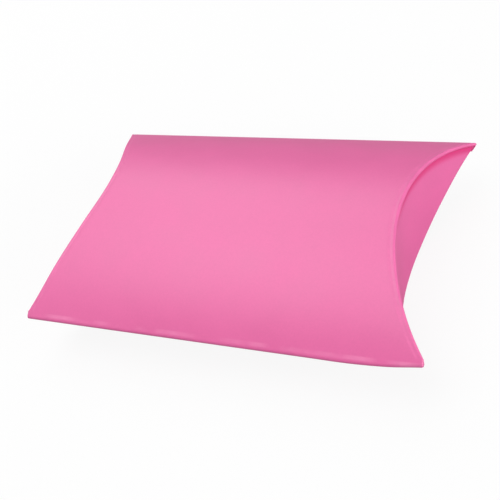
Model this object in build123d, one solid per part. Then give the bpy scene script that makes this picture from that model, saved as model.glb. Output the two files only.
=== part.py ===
from build123d import *
import os

# Favor box of the pillow kind: one creased sheet of card, closed by curved flaps at both ends.
# Millimetres, +Z up, X along the box. The origin is under the middle of the belly it rests on.

# Driving dimensions
length = 90.0
width = 61.0
depth = 20.5
card = 0.4

# Long folds: the flattened nose of each fold, and the strip of card bent round it
nose_height = 0.7
nose_round = 0.25
fold_strip = 1.2

# End creases: the strip of card pressed thin beside each flap
score_width = 1.0
score_press = 0.12

# Glue seam inside the far long edge
glue_film = 0.1
glue_margin = 1.9
tab_width = 11.0
tab_end_clearance = 2.0

# End flaps: the outer one covers the whole end, the inner one is cut off this far above half height.
inner_flap_rise = 2.05

# Clearances round the flaps
hinge_gap = 0.2
layer_gap = 0.2
tip_gap = 0.2

# The two bellies are equal arcs, one each side of the flat middle plane.
middle = depth / 2
nose_half = nose_height / 2
arc_rise = middle - nose_half
half_width = width / 2
belly_radius = (half_width ** 2 + arc_rise ** 2) / (2 * arc_rise)
arc_offset = belly_radius - middle

# Each end is hollowed by an upright arc of the same radius, so both creases lie in 45 degree planes.
end_axis = length / 2 + nose_half + arc_offset

# How far in from the hollow end each layer of card starts
outer_flap_back = card
inner_flap_front = outer_flap_back + layer_gap
inner_flap_back = inner_flap_front + card
top_score_front = outer_flap_back + hinge_gap
top_panel_end = top_score_front + score_width
bottom_score_front = inner_flap_back + hinge_gap
bottom_panel_end = bottom_score_front + score_width
tab_end = bottom_panel_end + tab_end_clearance

# How far in from its belly each flap starts, and the glue tab starts and ends
flap_root = card + hinge_gap
tab_front = card + glue_film
tab_back = tab_front + card

# Where the pieces divide across the width
strip_edge = half_width - fold_strip
flap_tip = strip_edge - tip_gap
tab_edge = half_width - tab_width

# The cutting shapes run a little past the part, so that they always cut right through.
over_length = length + nose_height
over_depth = depth + nose_height


def belly(side, inset):
    """Round bar along X whose skin is the upper (side 1) or lower (side -1) belly, drawn in by inset."""
    centre_height = middle - side * arc_offset
    return Pos(0, 0, centre_height) * Rot(0, 90, 0) * Cylinder(belly_radius - inset, over_length)


def pillow(upper_inset, lower_inset):
    """Endless pillow section between the two bellies, each drawn in by its inset."""
    return belly(1, upper_inset) & belly(-1, lower_inset)


def post(end, inset):
    """Upright round post that hollows one end, grown by inset towards the middle of the box."""
    return Pos(end * end_axis, 0, middle) * Cylinder(belly_radius + inset, over_depth)


def band(near, far):
    """Everything between two distances across the width."""
    return Pos(0, (near + far) / 2, middle) * Box(over_length, far - near, over_depth)


def trimmed(piece, inset):
    """A piece that runs the length of the box, cut off at both hollow ends."""
    return piece - post(1, inset) - post(-1, inset)


def end_sheet(end, front, back):
    """Endless upright sheet that follows one hollow end, from its front inset to its back inset."""
    return post(end, back) - post(end, front)


def save(piece, name):
    """Write one named piece as a single solid."""
    solid = piece.solids()[0]
    solid.label = name
    export_step(solid, "parts/" + name + ".step")


os.makedirs("parts", exist_ok=True)

# Sheets of card that the panels and their pressed creases are cut from
top_sheet = pillow(0, 0) - belly(1, card)
bottom_sheet = pillow(0, 0) - belly(-1, card)
top_pressed = pillow(score_press, 0) - belly(1, card)
bottom_pressed = pillow(0, score_press) - belly(-1, card)
between_folds = band(-strip_edge, strip_edge)

# Top panel: its far edge is cut, lies over the glue tab and runs out to the corners.
top_main = trimmed(top_sheet & between_folds, top_panel_end)
top_lip = trimmed(top_sheet & band(strip_edge, half_width), 0)
save(top_main + top_lip, "top_panel")

# Bottom panel
save(trimmed(bottom_sheet & between_folds, bottom_panel_end), "bottom_panel")

# Near long fold, which joins the two panels, with a rounded nose
near_fold = (pillow(0, 0) - pillow(card, card)) & band(-half_width, -strip_edge)
nose_edges = near_fold.edges().filter_by(Axis.X).group_by(Axis.Y)[0]
largest_round = 0.45 * nose_height
save(trimmed(fillet(nose_edges, min(nose_round, largest_round)), 0), "side_fold")

# Far long fold, which joins the bottom panel to the glue tab under the top panel
far_fold = (pillow(tab_front, 0) - pillow(tab_back, card)) & band(strip_edge, half_width)
save(trimmed(far_fold, 0), "seam_fold")

# Glue tab, and the film of glue that holds the top panel to it
tab_sheet = pillow(tab_front, card) - belly(1, tab_back)
save(trimmed(tab_sheet & band(tab_edge, strip_edge), tab_end), "glue_tab")
glue_sheet = pillow(card, card) - belly(1, tab_front)
glue_band = band(tab_edge + glue_margin, strip_edge - glue_margin)
save(trimmed(glue_sheet & glue_band, tab_end), "glue_line")

# The inner flap's cut edge is a flat arc that runs out to the corners.
cut_radius = (half_width ** 2 + inner_flap_rise ** 2) / (2 * inner_flap_rise)
cut_axis = middle + inner_flap_rise - cut_radius
under_cut_edge = Pos(0, 0, cut_axis) * Rot(0, 90, 0) * Cylinder(cut_radius, over_length)
between_tips = band(-flap_tip, flap_tip)

for name, end in (("right", 1), ("left", -1)):
    # Creases pressed into the ends of the two panels
    top_crease = end_sheet(end, top_score_front, top_panel_end)
    save(top_crease & top_pressed & between_folds, name + "_outer_score")
    bottom_crease = end_sheet(end, bottom_score_front, bottom_panel_end)
    save(bottom_crease & bottom_pressed & between_folds, name + "_inner_score")

    # The outer flap hangs from the top panel and covers the whole end.
    outer_flap = end_sheet(end, 0, outer_flap_back) & pillow(flap_root, 0)
    save(outer_flap & between_tips, name + "_outer_flap")

    # The inner flap stands on the bottom panel, behind the outer one.
    inner_flap = end_sheet(end, inner_flap_front, inner_flap_back) & pillow(0, flap_root)
    save(inner_flap & between_tips & under_cut_edge, name + "_inner_flap")
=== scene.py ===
from math import asin, atan2, cos, pi, radians, sin, sqrt

import bmesh
import bpy
from mathutils import Matrix, Vector


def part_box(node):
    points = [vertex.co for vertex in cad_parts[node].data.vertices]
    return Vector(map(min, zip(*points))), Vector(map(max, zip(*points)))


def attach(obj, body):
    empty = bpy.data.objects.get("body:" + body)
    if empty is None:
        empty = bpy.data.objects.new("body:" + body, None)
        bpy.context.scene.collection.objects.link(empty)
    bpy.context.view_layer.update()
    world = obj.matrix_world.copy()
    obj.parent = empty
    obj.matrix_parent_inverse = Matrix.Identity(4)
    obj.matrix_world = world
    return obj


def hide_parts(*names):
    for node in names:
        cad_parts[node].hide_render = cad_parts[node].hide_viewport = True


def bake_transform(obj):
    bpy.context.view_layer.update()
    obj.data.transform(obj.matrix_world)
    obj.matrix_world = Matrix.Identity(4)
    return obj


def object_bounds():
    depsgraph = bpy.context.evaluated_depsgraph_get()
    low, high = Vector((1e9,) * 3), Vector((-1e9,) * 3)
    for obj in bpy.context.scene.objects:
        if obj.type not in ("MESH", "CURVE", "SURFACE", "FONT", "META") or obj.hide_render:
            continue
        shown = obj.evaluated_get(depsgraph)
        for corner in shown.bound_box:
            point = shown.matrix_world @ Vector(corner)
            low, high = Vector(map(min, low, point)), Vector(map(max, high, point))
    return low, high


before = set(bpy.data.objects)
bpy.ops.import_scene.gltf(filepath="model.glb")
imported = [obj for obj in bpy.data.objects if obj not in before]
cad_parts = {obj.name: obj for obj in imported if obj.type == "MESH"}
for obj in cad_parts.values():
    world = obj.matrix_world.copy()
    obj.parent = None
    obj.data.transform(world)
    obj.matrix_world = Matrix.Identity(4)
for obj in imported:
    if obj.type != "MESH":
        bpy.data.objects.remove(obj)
cad_low, cad_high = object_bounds()

MM = 0.001

# Main sizes of the box, read from the frame
half_length = cad_high.x
half_width = cad_high.y
middle = (cad_low.z + cad_high.z) / 2
centre = Vector((0, 0, middle))
fold_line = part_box("bottom_panel")[1].y
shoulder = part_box("side_fold")[1].z - middle

# Both bellies, and the hollows of both ends, are arcs of this radius.
belly_drop = middle - shoulder
belly_radius = (fold_line ** 2 + belly_drop ** 2) / (2 * belly_drop)
arc_offset = belly_radius - middle
corner_height = sqrt(belly_radius ** 2 - half_width ** 2) - arc_offset

# On an end crease, the distance along the box and the height from the middle plane add up to this.
crease_reach = half_length + corner_height
end_axis = crease_reach + arc_offset
end_hollow = belly_radius - sqrt(belly_radius ** 2 - half_width ** 2)

# Card, and the bead that it makes where it turns over an end crease
card = 0.4 * MM
score_width = 1.0 * MM
score_press = 0.05 * MM
bead_radius = 0.55 * MM
bead_curl = radians(80)
bead_overrun = 0.05 * MM
flap_recess = bead_radius * (1 - cos(bead_curl))
bead_drop = bead_radius * (1 + sin(bead_curl))
flap_root = flap_recess + bead_drop
inner_set_back = 0.95 * MM
flap_lift = 0.15 * MM
inner_flap_rise = 2.05 * MM

# Shade is painted into the card's colour below the bead, between these shares of its drop, and beside the root
# of a flap.
shade_start, shade_full = 0.35, 0.95
painted_shade_start = 0.4 * MM
painted_shade_width = 2.4 * MM

# Long folds: their noses, and the cuts that close their ends
lip_edge = half_width - 0.05 * MM
seam_nose = 0.35 * MM
seam_card = 0.25 * MM
blunt_tip = 0.8 * MM
blunt_cut = (1, 0.05)
seam_tip = 0.25 * MM
seam_inset = 0.2 * MM
seam_cut = (0.82, -0.57)
tip_round = 0.3 * MM
tip_segments = 4

# The painted highlight along the near fold, measured from its ridge and from the edge of the panel
highlight_clear, highlight_full = 0.25 * MM, 0.6 * MM
highlight_fade = 0.3 * MM
highlight_strength = 0.4

# Mesh steps and tolerances
length_cuts = 59
arc_steps = 72
flap_cuts = 27
nose_steps = 14
nose_lead_steps = 3
score_steps = 6
bead_steps = 12
smooth_angle = radians(40)
cut_precision = 0.0002 * MM
merge_distance = 0.001 * MM
near_crease = 0.005 * MM
flush = 0.01 * MM


# Ways of working in edit mode

def begin_with_plane(name, size, location, rotation=(0, 0, 0)):
    """A new square primitive under the piece's name, open in edit mode."""
    bpy.ops.object.select_all(action="DESELECT")
    bpy.ops.mesh.primitive_plane_add(size=size, location=location, rotation=rotation)
    piece = bpy.context.object
    piece.name = name
    piece.data.name = name
    bpy.ops.object.transform_apply(location=True, rotation=True, scale=True)
    bpy.ops.object.mode_set(mode="EDIT")
    return piece


def keep_where(test):
    """Delete every point of the open mesh that fails the test."""
    bpy.ops.mesh.select_mode(type="VERT")
    bpy.ops.mesh.select_all(action="DESELECT")
    edit = bmesh.from_edit_mesh(bpy.context.object.data)
    for point in edit.verts:
        point.select = not test(point.co)
    edit.select_flush_mode()
    bmesh.update_edit_mesh(bpy.context.object.data)
    bpy.ops.mesh.delete(type="VERT")


def cut_beyond(place, outward, fill=False):
    """Cut the open mesh along a plane and drop what lies beyond it."""
    bpy.ops.mesh.select_all(action="SELECT")
    bpy.ops.mesh.bisect(plane_co=place, plane_no=outward, clear_outer=True, use_fill=fill,
                        threshold=cut_precision)


def crease_plane(end, side, set_back):
    """Place and outward direction of an end crease's slanting plane, moved towards the middle of the box."""
    return (end * (crease_reach - set_back), 0, middle), (end, 0, side)


def below_crease(place, side):
    """How far a point lies inside the slanting plane of the nearer upper (1) or lower (-1) crease."""
    return crease_reach - abs(place.x) - side * (place.z - middle)


def turn_faces_outwards():
    """Merge doubles and turn every face of the open sheet away from the middle of the box."""
    bpy.ops.mesh.select_all(action="SELECT")
    bpy.ops.mesh.remove_doubles(threshold=merge_distance)
    bpy.ops.mesh.normals_make_consistent(inside=False)
    edit = bmesh.from_edit_mesh(bpy.context.object.data)
    outwardness = sum(face.normal.dot(face.calc_center_median() - centre) for face in edit.faces)
    if outwardness < 0:
        bpy.ops.mesh.flip_normals()


def ramp(value, low, high):
    """Smooth step from 0 at low to 1 at high."""
    share = min(max((value - low) / (high - low), 0), 1)
    return share * share * (3 - 2 * share)


def finish_card(piece, thickness, finishes, painted_shade=None):
    """Settle the open sheet into the folded shape and close it into card.

    The finishes are for the outside, the inside and the cut edges. Where a shade function is given, it says for
    each point how much shade is painted into the card's colour beside a crease.
    """
    turn_faces_outwards()
    bpy.ops.object.mode_set(mode="OBJECT")
    for finish in finishes:
        piece.data.materials.append(finish)
    # Shade painted beside a crease, stored on each point for the finish to darken the colour by
    if painted_shade:
        painted_shade_layer = piece.data.attributes.new("painted_shade", "FLOAT", "POINT")
        painted_shade_layer.data.foreach_set("value", [painted_shade(point.co) for point in piece.data.vertices])
    settle = piece.modifiers.new("fold_cage", "LATTICE")
    settle.object = fold_cage
    bpy.ops.object.modifier_apply(modifier=settle.name)
    wall = piece.modifiers.new("card", "SOLIDIFY")
    wall.thickness = thickness
    wall.offset = -1
    wall.use_even_offset = True
    wall.material_offset = 1
    wall.material_offset_rim = 2
    bpy.ops.object.modifier_apply(modifier=wall.name)
    bpy.ops.object.shade_smooth_by_angle(angle=smooth_angle)
    return piece


# The hand-folded shape: a cage round the box, a few of whose points are moved, bends every piece alike.

def build_fold_cage():
    """A cage with its points moved by the millimetres given here, in columns along and rows across the box."""
    along, across, levels = 13, 7, 2
    near_right_tip = {(12, 0): (0, 0.8, 1.0), (11, 0): (0, 0.25, 0.3), (12, 1): (0, 0.1, 0.15)}
    right_free_edge = (0, -0.1, -0.1, 0.4, 0.85, 0.8, 0.1)
    right_column = 10
    left_crease = (1.1, 0, 0.2, 0.8, 0.6, -0.3, 0)
    left_column = 2
    bpy.ops.object.select_all(action="DESELECT")
    bpy.ops.object.add(type="LATTICE", location=centre)
    cage = bpy.context.object
    cage.name = "fold_cage"
    spans = Vector((2 * crease_reach, 2 * half_width, 2 * middle))
    cage.scale = spans
    mould = cage.data
    mould.points_u, mould.points_v, mould.points_w = along, across, levels
    for axis in "uvw":
        setattr(mould, "interpolation_type_" + axis, "KEY_CATMULL_ROM")
    for row in range(across):
        for column in range(along):
            for level in range(levels):
                move = Vector(near_right_tip.get((column, row), (0, 0, 0)))
                if level == 0 and column >= right_column:
                    move.x += right_free_edge[row]
                if level == 1 and column <= left_column:
                    move.x += left_crease[row]
                point = mould.points[column + along * (row + across * level)]
                step = Vector([amount * MM / span for amount, span in zip(move, spans)])
                point.co_deform = point.co_deform + step
    bpy.context.view_layer.update()
    return cage


fold_cage = build_fold_cage()


# Sheets that the pieces are cut from

def skin_height(across):
    """Height of a belly's skin from the middle plane, at a distance across the box."""
    return sqrt(belly_radius ** 2 - across ** 2) - arc_offset


def spin_belly(side, from_across, to_across, steps):
    """Spin the selected line along the box round a belly's axis, from one distance across to another."""
    sweep = asin(to_across / belly_radius) - asin(from_across / belly_radius)
    axis_place = (0, 0, middle - side * arc_offset)
    bpy.ops.mesh.spin(steps=steps, angle=side * sweep, center=axis_place, axis=(1, 0, 0))


def line_along_box(name, across, height):
    """Start a piece as one straight line along the box, divided into short steps."""
    piece = begin_with_plane(name, 2 * crease_reach, (0, across + crease_reach, height))
    keep_where(lambda place: place.y < across + crease_reach)
    bpy.ops.mesh.select_all(action="SELECT")
    bpy.ops.mesh.subdivide(number_cuts=length_cuts)
    return piece


def belly_sheet(name, side):
    """The whole skin of the upper (side 1) or lower (side -1) belly, longer than the box."""
    piece = line_along_box(name, -half_width, middle + side * corner_height)
    spin_belly(side, -half_width, half_width, arc_steps)
    return piece


def end_sheet(name, end, recess):
    """The whole upright skin of a hollow end, moved towards the middle of the box by its recess."""
    axis_along = end_axis - recess
    start_along = axis_along - sqrt(belly_radius ** 2 - half_width ** 2)
    place = (end * start_along, middle - half_width, middle)
    piece = begin_with_plane(name, 2 * middle, place, rotation=(0, pi / 2, 0))
    keep_where(lambda point: point.y < middle - half_width)
    bpy.ops.mesh.select_all(action="SELECT")
    bpy.ops.mesh.subdivide(number_cuts=flap_cuts)
    sweep = 2 * asin(half_width / belly_radius)
    bpy.ops.mesh.spin(steps=arc_steps, angle=end * sweep, center=(end * axis_along, 0, 0), axis=(0, 0, 1))
    return piece


# Pieces

def panel(name, side, near_edge, far_edge, set_back, finishes):
    """A bowed panel between its long edges, ending where the pressed creases start."""
    piece = belly_sheet(name + "_card", side)
    cut_beyond((0, near_edge, 0), (0, -1, 0))
    cut_beyond((0, far_edge, 0), (0, 1, 0))
    for end in (1, -1):
        cut_beyond(*crease_plane(end, side, set_back + bead_radius + score_width))
    return finish_card(piece, card, finishes)


def bead_profile():
    """Steps along and up from the panel's edge: over the pressed score, then round the bead."""
    profile = []
    for step in range(1, score_steps + 1):
        share = step / score_steps
        profile.append((share * score_width, -score_press * (1 - cos(2 * pi * share)) / 2))
    for step in range(1, bead_steps + 1):
        turn = (pi / 2 + bead_curl) * step / bead_steps
        profile.append((score_width + bead_radius * sin(turn), bead_radius * (cos(turn) - 1)))
    return profile


def crease(name, end, side, near_edge, far_edge, set_back, finishes):
    """The pressed score at a panel's end and the bead that turns over towards the flap."""
    piece = belly_sheet(name + "_bead", side)
    cut_beyond((0, near_edge, 0), (0, -1, 0))
    cut_beyond((0, far_edge, 0), (0, 1, 0))
    start = set_back + bead_radius + score_width
    cut_beyond(*crease_plane(end, side, start))
    keep_where(lambda place: abs(below_crease(place, side) - start) < near_crease and place.x * end > 0)
    bpy.ops.mesh.select_all(action="SELECT")
    along, height = 0, 0
    for next_along, next_height in bead_profile():
        move = (end * (next_along - along), 0, side * (next_height - height))
        bpy.ops.mesh.extrude_region_move(TRANSFORM_OT_translate={"value": move})
        along, height = next_along, next_height
    cut_beyond((0, 0, middle - side * bead_overrun), (0, 0, -side))

    # Shade painted under the bead: darkest where the card hangs deepest below the panel's skin
    def shade_under_bead(place):
        drop = skin_height(min(abs(place.y), half_width)) - side * (place.z - middle)
        return ramp(drop, shade_start * bead_drop, shade_full * bead_drop)

    finish_card(piece, card, finishes, shade_under_bead)
    bpy.ops.object.mode_set(mode="EDIT")
    cut_beyond((0, far_edge, 0), (0, 1, 0), fill=True)
    bpy.ops.object.mode_set(mode="OBJECT")
    return piece


def shade_beside_root(side, root):
    """How much shade is painted into the card of a flap at a point, by its distance from the flap's crease."""
    return lambda place: 1 - ramp(below_crease(place, side), root + painted_shade_start, root + painted_shade_width)


def outer_flap(name, end, finishes):
    """The lens-shaped leaf that hangs from the top crease and covers the whole end."""
    piece = end_sheet(name + "_card", end, flap_recess)
    cut_beyond(*crease_plane(end, 1, flap_root))
    cut_beyond(*crease_plane(end, -1, flap_recess + flap_lift))
    return finish_card(piece, card, finishes, shade_beside_root(1, flap_root))


def inner_flap(name, end, finishes):
    """The shallower leaf behind it, which stands on the bottom crease and has a flat arc for its cut edge."""
    recess = inner_set_back + flap_recess
    root = inner_set_back + flap_root
    piece = end_sheet(name + "_card", end, recess)
    cut_beyond(*crease_plane(end, -1, root))
    crown = (end * (end_axis - recess - belly_radius), 0, middle + inner_flap_rise)
    cut_beyond(crown, (end * inner_flap_rise / end_hollow, 0, 1))
    cut_beyond(*crease_plane(end, 1, root))
    return finish_card(piece, card, finishes, shade_beside_root(-1, root))


def close_fold_ends(along, across, outward):
    """Cut both ends of a long fold with a plane, cap them and round the caps' outer edges."""
    for end in (1, -1):
        place = Vector((end * along, across, 0))
        normal = Vector((end * outward[0], outward[1], 0)).normalized()
        cut_beyond(place, normal)
        bpy.ops.mesh.edge_face_add()
        bpy.ops.mesh.select_all(action="DESELECT")
        edit = bmesh.from_edit_mesh(bpy.context.object.data)
        for edge in edit.edges:
            on_cap = all(abs((point.co - place).dot(normal)) < flush for point in edge.verts)
            edge.select = on_cap and max(abs(point.co.y) for point in edge.verts) > fold_line + flush
        bmesh.update_edit_mesh(bpy.context.object.data)
        bpy.ops.mesh.bevel(offset=tip_round, offset_type="OFFSET", segments=tip_segments, affect="EDGES",
                           clamp_overlap=True)


def side_fold(finishes):
    """The near long fold: the top panel's skin runs round a small nose into the bottom panel's."""
    belly_reach = belly_radius ** 2 - arc_offset ** 2
    nose_radius = (belly_reach - half_width ** 2) / (2 * (belly_radius - half_width))
    nose_across = half_width - nose_radius
    tangent = atan2(nose_across, arc_offset)
    tangent_across = belly_radius * sin(tangent)
    piece = line_along_box("side_fold_card", -fold_line, middle + skin_height(fold_line))
    spin_belly(1, -fold_line, -tangent_across, nose_lead_steps)
    nose_axis = (0, -nose_across, middle)
    bpy.ops.mesh.spin(steps=nose_steps, angle=2 * tangent - pi, center=nose_axis, axis=(1, 0, 0))
    spin_belly(-1, -tangent_across, -fold_line, nose_lead_steps)
    close_fold_ends(half_length - blunt_tip, -half_width, blunt_cut)
    return finish_card(piece, card, finishes)


def seam_fold(finishes):
    """The far long fold: the bottom panel's skin turns back under the top panel's cut edge."""
    inside = belly_radius - card
    rise = ((inside - seam_nose) ** 2 - (belly_radius - seam_nose) ** 2) / (4 * arc_offset)
    across = sqrt((inside - seam_nose) ** 2 - (rise + arc_offset) ** 2)
    lower_tangent = atan2(across, arc_offset - rise)
    upper_tangent = atan2(across, arc_offset + rise)
    piece = line_along_box("seam_fold_card", fold_line, middle - skin_height(fold_line))
    spin_belly(-1, fold_line, belly_radius * sin(lower_tangent), nose_lead_steps)
    turn = lower_tangent + upper_tangent - pi
    bpy.ops.mesh.spin(steps=nose_steps, angle=turn, center=(0, across, middle + rise), axis=(1, 0, 0))
    close_fold_ends(half_length - seam_tip, half_width - seam_inset, seam_cut)
    return finish_card(piece, seam_card, finishes)


# Shader nodes

def add_node(tree, kind, **inputs):
    """A shader node with the given values on its input sockets, whose names have _ for each space."""
    node = tree.nodes.new(kind)
    for name, value in inputs.items():
        node.inputs[name.replace("_", " ")].default_value = value
    return node


def combine(tree, operation, first, second):
    """Output of a math node on a socket and another socket or a number."""
    node = tree.nodes.new("ShaderNodeMath")
    node.operation = operation
    tree.links.new(first, node.inputs[0])
    if isinstance(second, (int, float)):
        node.inputs[1].default_value = second
    else:
        tree.links.new(second, node.inputs[1])
    return node.outputs[0]


def blend_colour(tree, share, base, tone):
    """Output of a node that goes from a colour socket to a fixed tone as the share goes from 0 to 1."""
    node = tree.nodes.new("ShaderNodeMix")
    node.data_type = "RGBA"
    node.inputs["B"].default_value = (*tone, 1)
    tree.links.new(share, node.inputs["Factor"])
    tree.links.new(base, node.inputs["A"])
    return node.outputs["Result"]


def fade_across(tree, source, start, end):
    """Output of a smooth step from 0 to 1 as the source goes from start to end."""
    node = add_node(tree, "ShaderNodeMapRange", From_Min=start, From_Max=end)
    node.interpolation_type = "SMOOTHSTEP"
    tree.links.new(source, node.inputs["Value"])
    return node.outputs["Result"]


# Finishes

def build_card_grain():
    """Fibres and uneven ink: a colour, a roughness and a height that vary over the card."""
    group = bpy.data.node_groups.new("card_grain", "ShaderNodeTree")
    sockets = group.interface
    sockets.new_socket("Colour", in_out="INPUT", socket_type="NodeSocketColor")
    for name in ("Fibre Scale", "Fibre Amount", "Mottle Scale", "Mottle Amount", "Smooth", "Rough"):
        sockets.new_socket(name, in_out="INPUT", socket_type="NodeSocketFloat")
    sockets.new_socket("Colour", in_out="OUTPUT", socket_type="NodeSocketColor")
    sockets.new_socket("Roughness", in_out="OUTPUT", socket_type="NodeSocketFloat")
    sockets.new_socket("Height", in_out="OUTPUT", socket_type="NodeSocketFloat")
    given = group.nodes.new("NodeGroupInput")
    result = group.nodes.new("NodeGroupOutput")
    place = group.nodes.new("ShaderNodeTexCoord")
    link = group.links.new
    waves, swings = {}, {}
    for layer, detail in (("Fibre", 4), ("Mottle", 2)):
        noise = add_node(group, "ShaderNodeTexNoise", Detail=detail, Roughness=0.6)
        link(place.outputs["Object"], noise.inputs["Vector"])
        link(given.outputs[layer + " Scale"], noise.inputs["Scale"])
        swing = add_node(group, "ShaderNodeMapRange", From_Min=0.25, From_Max=0.75, To_Min=-1)
        link(noise.outputs["Fac"], swing.inputs["Value"])
        waves[layer] = noise.outputs["Fac"]
        swings[layer] = combine(group, "MULTIPLY", swing.outputs["Result"], given.outputs[layer + " Amount"])
    tone = combine(group, "ADD", combine(group, "ADD", swings["Fibre"], swings["Mottle"]), 1)
    tint = group.nodes.new("ShaderNodeHueSaturation")
    link(given.outputs["Colour"], tint.inputs["Color"])
    link(tone, tint.inputs["Value"])
    gloss = add_node(group, "ShaderNodeMapRange", From_Min=0.3, From_Max=0.7)
    link(waves["Mottle"], gloss.inputs["Value"])
    link(given.outputs["Smooth"], gloss.inputs["To Min"])
    link(given.outputs["Rough"], gloss.inputs["To Max"])
    link(tint.outputs["Color"], result.inputs["Colour"])
    link(gloss.outputs["Result"], result.inputs["Roughness"])
    link(waves["Fibre"], result.inputs["Height"])
    return group


card_grain = build_card_grain()
relief_depth = 0.02 * MM


def start_finish(name, colour, fibre, mottle, roughness, relief):
    """A material whose colour, roughness and surface come from the card grain.

    Fibre and mottle are each a scale and an amount, and roughness is its lowest and highest value.
    """
    material = bpy.data.materials.new(name)
    material.use_nodes = True
    tree = material.node_tree
    shader = tree.nodes["Principled BSDF"]
    grain = tree.nodes.new("ShaderNodeGroup")
    grain.node_tree = card_grain
    values = {"Fibre Scale": fibre[0], "Fibre Amount": fibre[1], "Mottle Scale": mottle[0],
              "Mottle Amount": mottle[1], "Smooth": roughness[0], "Rough": roughness[1]}
    for socket, value in values.items():
        grain.inputs[socket].default_value = value
    grain.inputs["Colour"].default_value = (*colour, 1)
    bump = add_node(tree, "ShaderNodeBump", Strength=relief, Distance=relief_depth)
    tree.links.new(grain.outputs["Height"], bump.inputs["Height"])
    tree.links.new(bump.outputs["Normal"], shader.inputs["Normal"])
    tree.links.new(grain.outputs["Roughness"], shader.inputs["Roughness"])
    tree.links.new(grain.outputs["Colour"], shader.inputs["Base Color"])
    return material, tree, shader, grain


pink_tone = (0.645, 0.112, 0.298)
bead_tone = (0.655, 0.119, 0.308)
# Colour of the shade painted below the crease beads and beside the roots of the flaps
painted_crease_shade_tone = (0.58, 0.025, 0.165)
# Colour of the highlight painted along the near fold
painted_highlight_tone = (0.80, 0.27, 0.47)
inside_tone = (0.80, 0.77, 0.73)
edge_tone = (0.84, 0.52, 0.63)
glue_tone = (0.84, 0.79, 0.64)
uncoated_gloss = 0.3


def paint_crease_shade(tree, shader, grain):
    """Paint shade into the colour where the point attribute says that the card lies in shade beside a crease.
    """
    painted_shade_layer = tree.nodes.new("ShaderNodeAttribute")
    painted_shade_layer.attribute_name = "painted_shade"
    shaded = blend_colour(tree, painted_shade_layer.outputs["Fac"], grain.outputs["Colour"], painted_crease_shade_tone)
    tree.links.new(shaded, shader.inputs["Base Color"])


def build_pink_outside():
    """Satin pink ink over smooth coated board, with shade painted into the colour beside a crease."""
    material, tree, shader, grain = start_finish(
        "pink_outside", pink_tone, fibre=(2400, 0.03), mottle=(110, 0.025), roughness=(0.39, 0.45), relief=0.22)
    paint_crease_shade(tree, shader, grain)
    return material


def build_folded_pink():
    """The pink outside along a long fold, with a thin patchy highlight painted along the near one."""
    material, tree, shader, grain = start_finish(
        "folded_pink", pink_tone, fibre=(2400, 0.03), mottle=(110, 0.025), roughness=(0.40, 0.47), relief=0.22)
    # A patchy highlight painted in a thin line along the near fold's ridge
    place = tree.nodes.new("ShaderNodeTexCoord")
    split = tree.nodes.new("ShaderNodeSeparateXYZ")
    tree.links.new(place.outputs["Object"], split.inputs[0])
    ridge = fade_across(tree, split.outputs["Y"], -half_width + highlight_clear, -half_width + highlight_full)
    fade = fade_across(tree, split.outputs["Y"], -fold_line, -fold_line - highlight_fade)
    patches = add_node(tree, "ShaderNodeTexNoise", Scale=140, Detail=3)
    tree.links.new(place.outputs["Object"], patches.inputs["Vector"])
    spots = add_node(tree, "ShaderNodeMapRange", From_Min=0.42, From_Max=0.68, To_Max=highlight_strength)
    tree.links.new(patches.outputs["Fac"], spots.inputs["Value"])
    painted_highlight = combine(tree, "MULTIPLY", combine(tree, "MULTIPLY", ridge, fade), spots.outputs["Result"])
    highlighted_colour = blend_colour(tree, painted_highlight, grain.outputs["Colour"], painted_highlight_tone)
    tree.links.new(highlighted_colour, shader.inputs["Base Color"])
    return material


def build_creased_pink():
    """The pink outside over an end crease: a little paler on the bead, with shade painted into the colour below
    it.
    """
    material, tree, shader, grain = start_finish(
        "creased_pink", bead_tone, fibre=(2400, 0.035), mottle=(260, 0.04), roughness=(0.40, 0.47),
        relief=0.25)
    paint_crease_shade(tree, shader, grain)
    return material


def build_white_inside():
    """Uncoated inside of the board, with a matted fibre grain."""
    material, _, shader, _ = start_finish(
        "white_inside", inside_tone, fibre=(1500, 0.06), mottle=(220, 0.05), roughness=(0.82, 0.92), relief=0.5)
    shader.inputs["Specular IOR Level"].default_value = uncoated_gloss
    return material


def build_cut_edge():
    """Cut edge of the board: pale core with some of the pink dragged over it by the knife."""
    material, _, shader, _ = start_finish(
        "cut_edge", edge_tone, fibre=(1800, 0.10), mottle=(420, 0.08), roughness=(0.75, 0.88), relief=0.5)
    shader.inputs["Specular IOR Level"].default_value = uncoated_gloss
    return material


def build_glue_film():
    """Dried film of glue, uneven and with a slight shine."""
    material, _, _, _ = start_finish(
        "glue_film", glue_tone, fibre=(700, 0.08), mottle=(160, 0.08), roughness=(0.3, 0.5), relief=0.4)
    return material


pink = build_pink_outside()
folded_pink = build_folded_pink()
creased_pink = build_creased_pink()
white_inside = build_white_inside()
cut_edge = build_cut_edge()
glue_film = build_glue_film()
card_finishes = (pink, white_inside, cut_edge)
fold_finishes = (folded_pink, white_inside, folded_pink)
seam_finishes = (folded_pink, folded_pink, folded_pink)
crease_finishes = (creased_pink, white_inside, creased_pink)


# The dressed box

def fit(piece, node, body):
    """Let a piece stand for its CAD node and move with a body."""
    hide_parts(node)
    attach(piece, body)


def fit_flap(piece, node):
    """Let a flap stand for its CAD node, with its placement applied to its mesh."""
    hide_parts(node)
    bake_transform(piece)


fit(panel("top_panel", 1, -fold_line, lip_edge, 0, card_finishes), "top_panel", "sleeve")
fit(panel("bottom_panel", -1, -fold_line, fold_line, inner_set_back, card_finishes),
    "bottom_panel", "sleeve")
fit(side_fold(fold_finishes), "side_fold", "sleeve")
fit(seam_fold(seam_finishes), "seam_fold", "sleeve")

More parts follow.
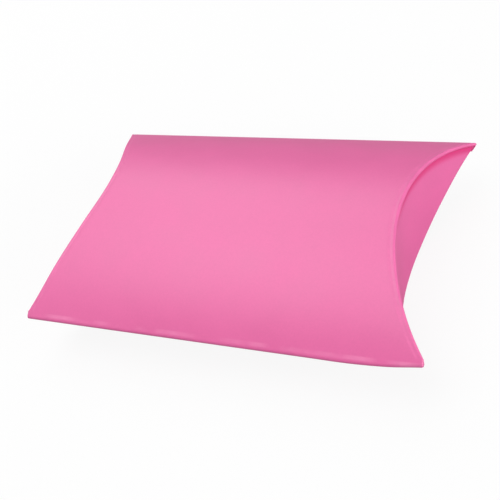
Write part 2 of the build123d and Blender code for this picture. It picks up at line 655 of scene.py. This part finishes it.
for name, end in (("right", 1), ("left", -1)):
    outer_score = name + "_outer_score"
    fit(crease(outer_score, end, 1, -fold_line, lip_edge, 0, crease_finishes),
        outer_score, "sleeve")
    inner_score = name + "_inner_score"
    fit(crease(inner_score, end, -1, -fold_line, fold_line, inner_set_back, crease_finishes),
        inner_score, "sleeve")
    outer = name + "_outer_flap"
    fit_flap(outer_flap(outer, end, card_finishes), outer)
    inner = name + "_inner_flap"
    fit_flap(inner_flap(inner, end, card_finishes), inner)

for node, finish in (("glue_tab", white_inside), ("glue_line", glue_film)):
    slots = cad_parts[node].data.materials
    slots.clear()
    slots.append(finish)

bpy.data.objects.remove(fold_cage)


# Studio

floor_size = 4
floor_tone = (0.28, 0.28, 0.28, 1)
floor_glow = 1.2
glow_share = 0.75
world_light = 0.25
world_seen = 1.0


def build_floor():
    """A plain floor. To the camera most of it is an even white, which leaves a soft shadow round the box."""
    bpy.ops.object.select_all(action="DESELECT")
    bpy.ops.mesh.primitive_plane_add(size=floor_size, location=(0, 0, 0))
    floor = bpy.context.object
    floor.name = "floor"
    material = bpy.data.materials.new("white_floor")
    material.use_nodes = True
    tree = material.node_tree
    tree.nodes.clear()
    paper = add_node(tree, "ShaderNodeBsdfDiffuse", Color=floor_tone)
    glow = add_node(tree, "ShaderNodeEmission", Strength=floor_glow)
    ray = tree.nodes.new("ShaderNodeLightPath")
    mix = tree.nodes.new("ShaderNodeMixShader")
    out = tree.nodes.new("ShaderNodeOutputMaterial")
    share = combine(tree, "MULTIPLY", ray.outputs["Is Camera Ray"], glow_share)
    tree.links.new(share, mix.inputs[0])
    tree.links.new(paper.outputs[0], mix.inputs[1])
    tree.links.new(glow.outputs[0], mix.inputs[2])
    tree.links.new(mix.outputs[0], out.inputs["Surface"])
    floor.data.materials.append(material)


def build_world():
    """A dim even light all round, which the camera sees as white."""
    world = bpy.data.worlds.new("studio")
    bpy.context.scene.world = world
    world.use_nodes = True
    tree = world.node_tree
    background = tree.nodes["Background"]
    background.inputs["Color"].default_value = (1, 1, 1, 1)
    ray = tree.nodes.new("ShaderNodeLightPath")
    strength = add_node(tree, "ShaderNodeMapRange", To_Min=world_light, To_Max=world_seen)
    tree.links.new(ray.outputs["Is Camera Ray"], strength.inputs["Value"])
    tree.links.new(strength.outputs["Result"], background.inputs["Strength"])


def softbox(name, turn, height, distance, size, brightness, roll=0):
    """A rectangular lamp that faces the box.

    It stands at a turn from +X and a height above the horizon, and rolls about its own axis, all in degrees.
    """
    turn, height = radians(turn), radians(height)
    towards = Vector((cos(turn) * cos(height), sin(turn) * cos(height), sin(height)))
    lamp = bpy.data.lights.new(name, "AREA")
    lamp.shape = "RECTANGLE"
    lamp.size, lamp.size_y = size
    lamp.energy = pi * size[0] * size[1] * brightness
    holder = bpy.data.objects.new(name, lamp)
    facing = towards.to_track_quat("Z", "Y").to_matrix() @ Matrix.Rotation(radians(roll), 3, "Z")
    holder.matrix_world = Matrix.Translation(centre + towards * distance) @ facing.to_4x4()
    bpy.context.scene.collection.objects.link(holder)


def build_camera():
    """The camera that was fitted to the outline of the box in the photo."""
    azimuth, elevation, roll = radians(34.023), radians(45.544), radians(-20.784)
    aim = Vector((0.405, -3.249, 7.386)) * MM
    distance = 174.69 * MM
    data = bpy.data.cameras.new("photo_camera")
    data.lens = 56.254
    data.sensor_width = 36
    data.clip_start = 0.01
    holder = bpy.data.objects.new("photo_camera", data)
    bpy.context.scene.collection.objects.link(holder)
    turn = Matrix.Rotation(azimuth, 4, "Z") @ Matrix.Rotation(pi / 2 - elevation, 4, "X")
    back = turn @ Vector((0, 0, distance))
    holder.matrix_world = Matrix.Translation(aim + back) @ turn @ Matrix.Rotation(roll, 4, "Z")
    bpy.context.scene.camera = holder


build_floor()
build_world()
softbox("back_softbox", turn=121, height=46, distance=0.6, size=(0.42, 0.4), brightness=2.75, roll=-26)
softbox("crown_softbox", turn=187, height=69.5, distance=0.6, size=(0.42, 0.42), brightness=3.75, roll=-7)
softbox("side_softbox", turn=-12, height=15, distance=0.7, size=(0.6, 0.36), brightness=7.3)
softbox("front_softbox", turn=-55, height=20, distance=0.7, size=(0.6, 0.45), brightness=1.2)
softbox("left_softbox", turn=195, height=11, distance=0.7, size=(0.6, 0.26), brightness=3.4)
build_camera()
bpy.context.scene.view_settings.view_transform = "Standard"
